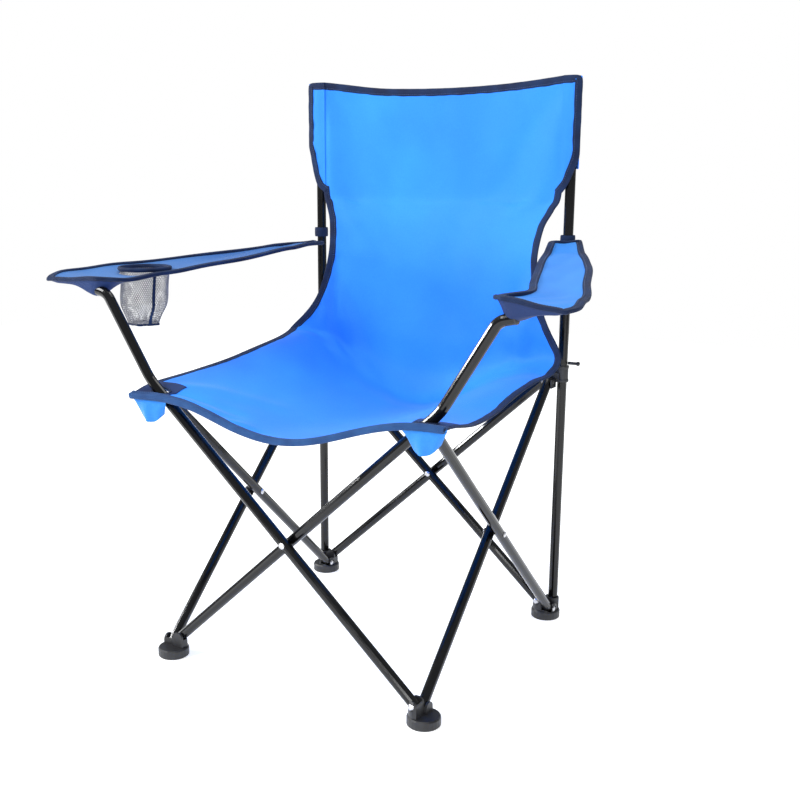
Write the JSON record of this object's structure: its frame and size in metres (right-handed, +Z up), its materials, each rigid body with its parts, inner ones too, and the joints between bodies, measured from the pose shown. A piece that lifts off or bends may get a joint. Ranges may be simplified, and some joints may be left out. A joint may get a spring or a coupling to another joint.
{
  "type": "folding camp chair",
  "caption": "Folding camp chair: crossed tubular legs that close like scissors, a sling seat and back in cloth, cloth armrests and a mesh cup holder on one arm.",
  "frame": {"origin": "middle of the chair on the surface it stands on, at the bottom centre of its box", "axes": "+Z up, the sitter faces -Y, +X to the right seen from in front"},
  "size_m": [0.796, 0.4826, 0.84],
  "materials": {
    "black_tube": "gloss black powder coat on steel tube",
    "black_plastic": "satin moulded",
    "rivet_steel": "zinc plated",
    "blue_cloth": "coated polyester oxford weave",
    "navy_binding": "woven binding tape",
    "grey_mesh": "open knitted mesh"
  },
  "bodies": {
    "rear_right_post": {"foot_rear_right": "black_plastic", "rivet_foot_rear_right_cross": "rivet_steel", "rivet_foot_rear_right_side": "rivet_steel", "upright_right": "black_tube", "upright_plug_right": "black_plastic", "back_sleeve_right": "blue_cloth", "back_upper": "blue_cloth"},
    "rear_inner_tube": {"rear_tube_inner": "black_tube", "rivet_crossing_rear": "rivet_steel"},
    "rear_outer_tube": {"rear_tube_outer": "black_tube"},
    "rear_left_post": {"foot_rear_left": "black_plastic", "rivet_foot_rear_left_cross": "rivet_steel", "rivet_foot_rear_left_side": "rivet_steel", "upright_left": "black_tube", "upright_plug_left": "black_plastic", "back_sleeve_left": "blue_cloth"},
    "right_slider": {"slider_right": "black_plastic", "rivet_top_rear_right_cross": "rivet_steel", "rivet_top_rear_right_side": "rivet_steel", "back_lower": "blue_cloth"},
    "left_slider": {"slider_left": "black_plastic", "rivet_top_rear_left_cross": "rivet_steel", "rivet_top_rear_left_side": "rivet_steel"},
    "right_side_outer_tube": {"right_side_tube_outer": "black_tube", "rivet_crossing_right": "rivet_steel"},
    "right_side_inner_tube": {"right_side_tube_inner": "black_tube"},
    "front_right_foot": {"foot_front_right": "black_plastic", "rivet_foot_front_right_cross": "rivet_steel", "rivet_foot_front_right_side": "rivet_steel"},
    "front_right_corner": {"corner_bracket_right": "black_plastic", "corner_flap_right": "blue_cloth", "rivet_top_front_right_cross": "rivet_steel", "rivet_top_front_right_side": "rivet_steel"},
    "front_left_arm_tube": {"front_tube_left_arm": "black_tube", "arm_plug_left": "black_plastic", "rivet_crossing_front": "rivet_steel"},
    "front_right_arm_tube": {"front_tube_right_arm": "black_tube", "arm_plug_right": "black_plastic"},
    "front_left_foot": {"foot_front_left": "black_plastic", "rivet_foot_front_left_cross": "rivet_steel", "rivet_foot_front_left_side": "rivet_steel"},
    "left_side_inner_tube": {"left_side_tube_inner": "black_tube", "rivet_crossing_left": "rivet_steel"},
    "left_side_outer_tube": {"left_side_tube_outer": "black_tube"},
    "front_left_corner": {"corner_bracket_left": "black_plastic", "corner_flap_left": "blue_cloth", "rivet_top_front_left_cross": "rivet_steel", "rivet_top_front_left_side": "rivet_steel"},
    "seat_front_half": {"seat_front": "blue_cloth"},
    "seat_rear_half": {"seat_rear": "blue_cloth"},
    "right_armrest": {"armrest_right": "blue_cloth"},
    "left_armrest": {"armrest_left": "blue_cloth", "cup_ring": "navy_binding", "cup_mesh": "grey_mesh"}
  },
  "joints": [
    {"name": "fold", "type": "hinge", "parent": "rear_right_post", "child": "rear_inner_tube", "pos_m": [0.202, 0.2027, 0.029], "axis": [0, 1, 0], "range_deg": [0, 41.9]},
    {"name": "rear_crossing", "type": "hinge", "parent": "rear_inner_tube", "child": "rear_outer_tube", "pos_m": [0, 0.2107, 0.2135], "axis": [0, 1, 0], "range_deg": [-83.88, 0]},
    {"name": "rear_left_foot_pivot", "type": "hinge", "parent": "rear_outer_tube", "child": "rear_left_post", "pos_m": [-0.202, 0.2187, 0.029], "axis": [0, 1, 0], "range_deg": [0, 41.94]},
    {"name": "right_slider_pivot", "type": "hinge", "parent": "rear_outer_tube", "child": "right_slider", "pos_m": [0.202, 0.2187, 0.398], "axis": [0, 1, 0], "range_deg": [0, 41.94]},
    {"name": "left_slider_pivot", "type": "hinge", "parent": "rear_inner_tube", "child": "left_slider", "pos_m": [-0.202, 0.2027, 0.398], "axis": [0, 1, 0], "range_deg": [-41.94, 0]},
    {"name": "right_side_foot_pivot", "type": "hinge", "parent": "rear_right_post", "child": "right_side_outer_tube", "pos_m": [0.22, 0.2007, 0.019], "axis": [1, 0, 0], "range_deg": [-41.94, 0]},
    {"name": "right_side_crossing", "type": "hinge", "parent": "right_side_outer_tube", "child": "right_side_inner_tube", "pos_m": [0.212, -0.0013, 0.2035], "axis": [1, 0, 0], "range_deg": [0, 83.88]},
    {"name": "front_right_foot_pivot", "type": "hinge", "parent": "right_side_inner_tube", "child": "front_right_foot", "pos_m": [0.204, -0.2033, 0.019], "axis": [1, 0, 0], "range_deg": [-41.94, 0]},
    {"name": "right_corner_pivot", "type": "hinge", "parent": "right_side_outer_tube", "child": "front_right_corner", "pos_m": [0.22, -0.2033, 0.388], "axis": [1, 0, 0], "range_deg": [0, 41.94]},
    {"name": "front_foot_pivot", "type": "hinge", "parent": "front_right_foot", "child": "front_left_arm_tube", "pos_m": [0.202, -0.2213, 0.029], "axis": [0, 1, 0], "range_deg": [0, 41.94]},
    {"name": "front_crossing", "type": "hinge", "parent": "front_left_arm_tube", "child": "front_right_arm_tube", "pos_m": [0, -0.2133, 0.2135], "axis": [0, 1, 0], "range_deg": [-83.88, 0]},
    {"name": "front_left_foot_pivot", "type": "hinge", "parent": "front_right_arm_tube", "child": "front_left_foot", "pos_m": [-0.202, -0.2053, 0.029], "axis": [0, 1, 0], "range_deg": [0, 41.94]},
    {"name": "left_side_foot_pivot", "type": "hinge", "parent": "rear_left_post", "child": "left_side_inner_tube", "pos_m": [-0.204, 0.2007, 0.019], "axis": [1, 0, 0], "range_deg": [-41.94, 0]},
    {"name": "left_side_crossing", "type": "hinge", "parent": "left_side_inner_tube", "child": "left_side_outer_tube", "pos_m": [-0.212, -0.0013, 0.2035], "axis": [1, 0, 0], "range_deg": [0, 83.88]},
    {"name": "left_corner_pivot", "type": "hinge", "parent": "left_side_inner_tube", "child": "front_left_corner", "pos_m": [-0.204, -0.2033, 0.388], "axis": [1, 0, 0], "range_deg": [0, 41.94]},
    {"name": "seat_front_hang", "type": "hinge", "parent": "front_right_corner", "child": "seat_front_half", "pos_m": [0, -0.2393, 0.408], "axis": [1, 0, 0], "range_deg": [-87.09, 0], "deforming": ["seat_front"]},
    {"name": "seat_rear_hang", "type": "hinge", "parent": "right_slider", "child": "seat_rear_half", "pos_m": [0, 0.1947, 0.398], "axis": [1, 0, 0], "range_deg": [0, 69.77], "deforming": ["seat_rear", "back_lower", "back_upper"]},
    {"name": "right_armrest_hang", "type": "hinge", "parent": "rear_right_post", "child": "right_armrest", "pos_m": [0.222, 0.2107, 0.592], "axis": [-0.9423, -0.2035, -0.2656], "range_deg": [0, 77.98], "deforming": ["armrest_right"]},
    {"name": "left_armrest_hang", "type": "hinge", "parent": "rear_left_post", "child": "left_armrest", "pos_m": [-0.222, 0.2107, 0.592], "axis": [-0.9423, 0.2035, 0.2656], "range_deg": [0, 77.98], "deforming": ["armrest_left", "cup_ring", "cup_mesh"]}
  ],
  "couplings": [
    {"joint": "rear_crossing", "follows": "fold", "ratio": -2},
    {"joint": "rear_left_foot_pivot", "follows": "fold", "ratio": 1},
    {"joint": "right_slider_pivot", "follows": "fold", "ratio": 1},
    {"joint": "left_slider_pivot", "follows": "fold", "ratio": -1},
    {"joint": "right_side_foot_pivot", "follows": "fold", "ratio": -1},
    {"joint": "right_side_crossing", "follows": "fold", "ratio": 2},
    {"joint": "front_right_foot_pivot", "follows": "fold", "ratio": -1},
    {"joint": "right_corner_pivot", "follows": "fold", "ratio": 1},
    {"joint": "front_foot_pivot", "follows": "fold", "ratio": 1},
    {"joint": "front_crossing", "follows": "fold", "ratio": -2},
    {"joint": "front_left_foot_pivot", "follows": "fold", "ratio": 1},
    {"joint": "left_side_foot_pivot", "follows": "fold", "ratio": -1},
    {"joint": "left_side_crossing", "follows": "fold", "ratio": 2},
    {"joint": "left_corner_pivot", "follows": "fold", "ratio": 1},
    {"joint": "seat_front_hang", "follows": "fold", "ratio": -2.0764},
    {"joint": "seat_rear_hang", "follows": "fold", "ratio": 1.6635},
    {"joint": "right_armrest_hang", "follows": "fold", "ratio": 1.8593},
    {"joint": "left_armrest_hang", "follows": "fold", "ratio": 1.8593}
  ]
}
